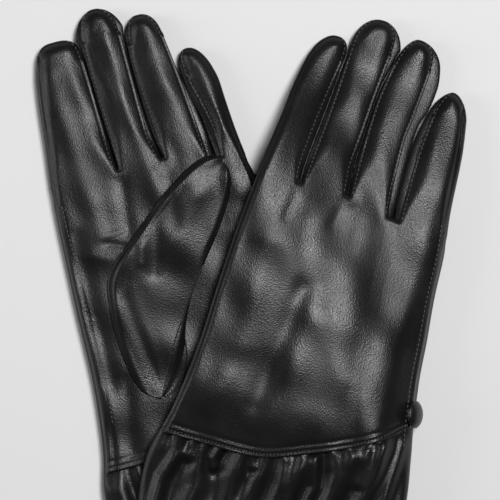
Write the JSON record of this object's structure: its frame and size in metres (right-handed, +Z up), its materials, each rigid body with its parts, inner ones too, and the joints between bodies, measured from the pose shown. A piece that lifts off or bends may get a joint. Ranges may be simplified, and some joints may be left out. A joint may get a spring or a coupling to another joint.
{
  "type": "leather gloves",
  "caption": "Pair of smooth black leather dress gloves with gathered cuffs and covered side buttons, lying crossed, one palm up and one back up.",
  "frame": {"origin": "middle of the pair's footprint on the table", "axes": "+X to the viewer's right, +Y towards the fingertips, +Z up off the table"},
  "size_m": [0.1995, 0.2852, 0.0303],
  "materials": {
    "leather": "smooth nappa with a fine pebble grain, soft sheen",
    "binding_leather": "thin folded leather binding, satin",
    "button_leather": "thin leather stretched over a domed button, satin to glossy",
    "button_metal": "stamped steel button back",
    "lining": "fine knitted lining, matt",
    "thread": "black sewing thread"
  },
  "bodies": {
    "left_hand": {"left_hand_back": "leather", "left_hand_palm": "leather", "left_lining_back": "lining", "left_lining_palm": "lining", "left_cuff_back": "leather", "left_cuff_palm": "leather", "left_cuff_lining_back": "lining", "left_cuff_lining_palm": "lining", "left_cuff_binding": "binding_leather", "left_thumb_base": "leather", "left_thumb_gusset": "leather", "left_button_thread": "thread"},
    "right_hand": {"right_hand_back": "leather", "right_hand_palm": "leather", "right_lining_back": "lining", "right_lining_palm": "lining", "right_cuff_back": "leather", "right_cuff_palm": "leather", "right_cuff_lining_back": "lining", "right_cuff_lining_palm": "lining", "right_cuff_binding": "binding_leather", "right_thumb_base": "leather", "right_thumb_gusset": "leather", "right_button_thread": "thread"},
    "left_index": {"left_index_back": "leather", "left_index_palm": "leather", "left_index_fourchette_outer": "leather"},
    "left_middle": {"left_middle_back": "leather", "left_middle_palm": "leather", "left_middle_fourchette_inner": "leather", "left_middle_fourchette_outer": "leather"},
    "left_ring": {"left_ring_back": "leather", "left_ring_palm": "leather", "left_ring_fourchette_inner": "leather", "left_ring_fourchette_outer": "leather"},
    "left_little": {"left_little_back": "leather", "left_little_palm": "leather", "left_little_fourchette_inner": "leather"},
    "left_thumb": {"left_thumb_front": "leather", "left_thumb_back": "leather"},
    "left_button": {"left_button_cap": "button_leather", "left_button_back": "button_metal"},
    "right_index": {"right_index_back": "leather", "right_index_palm": "leather", "right_index_fourchette_outer": "leather"},
    "right_middle": {"right_middle_back": "leather", "right_middle_palm": "leather", "right_middle_fourchette_inner": "leather", "right_middle_fourchette_outer": "leather"},
    "right_ring": {"right_ring_back": "leather", "right_ring_palm": "leather", "right_ring_fourchette_inner": "leather", "right_ring_fourchette_outer": "leather"},
    "right_little": {"right_little_back": "leather", "right_little_palm": "leather", "right_little_fourchette_inner": "leather"},
    "right_thumb": {"right_thumb_front": "leather", "right_thumb_back": "leather"},
    "right_button": {"right_button_cap": "button_leather", "right_button_back": "button_metal"}
  },
  "joints": [
    {"name": "right_glove_lift", "type": "slide", "parent": "left_hand", "child": "right_hand", "axis": [0, 0, 1], "range_m": [0, 0.12]},
    {"name": "left_index_knuckle", "type": "hinge", "parent": "left_hand", "child": "left_index", "pos_m": [-0.07914, 0.06297, 0.00955], "axis": [0.9613, 0.2756, 0], "range_deg": [0, 60]},
    {"name": "left_middle_knuckle", "type": "hinge", "parent": "left_hand", "child": "left_middle", "pos_m": [-0.05239, 0.07054, 0.00955], "axis": [0.9613, 0.2756, 0], "range_deg": [0, 60]},
    {"name": "left_ring_knuckle", "type": "hinge", "parent": "left_hand", "child": "left_ring", "pos_m": [-0.03043, 0.07413, 0.00955], "axis": [0.9613, 0.2756, 0], "range_deg": [0, 60]},
    {"name": "left_little_knuckle", "type": "hinge", "parent": "left_hand", "child": "left_little", "pos_m": [-0.01119, 0.07486, 0.00955], "axis": [0.9613, 0.2756, 0], "range_deg": [0, 60]},
    {"name": "left_thumb_swing", "type": "hinge", "parent": "left_hand", "child": "left_thumb", "pos_m": [-0.03938, 0.0286, 0.0181], "axis": [0.9607, -0.2777, 0], "range_deg": [0, 75]},
    {"name": "left_button_turn", "type": "hinge", "parent": "left_hand", "child": "left_button", "pos_m": [0.03129, -0.00835, 0.00525], "axis": [0.8152, 0.2337, 0.5299], "range_deg": [-20, 20]},
    {"name": "right_index_knuckle", "type": "hinge", "parent": "right_hand", "child": "right_index", "pos_m": [0.01147, 0.06475, 0.0284], "axis": [0.9659, -0.2588, 0], "range_deg": [0, 45]},
    {"name": "right_middle_knuckle", "type": "hinge", "parent": "right_hand", "child": "right_middle", "pos_m": [0.03273, 0.05906, 0.02324], "axis": [0.9659, -0.2588, 0], "range_deg": [0, 45]},
    {"name": "right_ring_knuckle", "type": "hinge", "parent": "right_hand", "child": "right_ring", "pos_m": [0.05395, 0.05172, 0.01874], "axis": [0.9659, -0.2588, 0], "range_deg": [0, 45]},
    {"name": "right_little_knuckle", "type": "hinge", "parent": "right_hand", "child": "right_little", "pos_m": [0.07909, 0.04084, 0.01825], "axis": [0.9659, -0.2588, 0], "range_deg": [0, 45]},
    {"name": "right_thumb_drop", "type": "hinge", "parent": "right_hand", "child": "right_thumb", "pos_m": [0.03597, 0.01999, 0.00933], "axis": [-0.6804, 0.7328, 0], "range_deg": [0, 60]},
    {"name": "right_button_turn", "type": "hinge", "parent": "right_hand", "child": "right_button", "pos_m": [0.07397, -0.04589, 0.01739], "axis": [0.848, 0, 0.5299], "range_deg": [-20, 20]}
  ],
  "couplings": [
    {"joint": "right_thumb_drop", "follows": "right_glove_lift", "rad_per_m": 8.7}
  ]
}
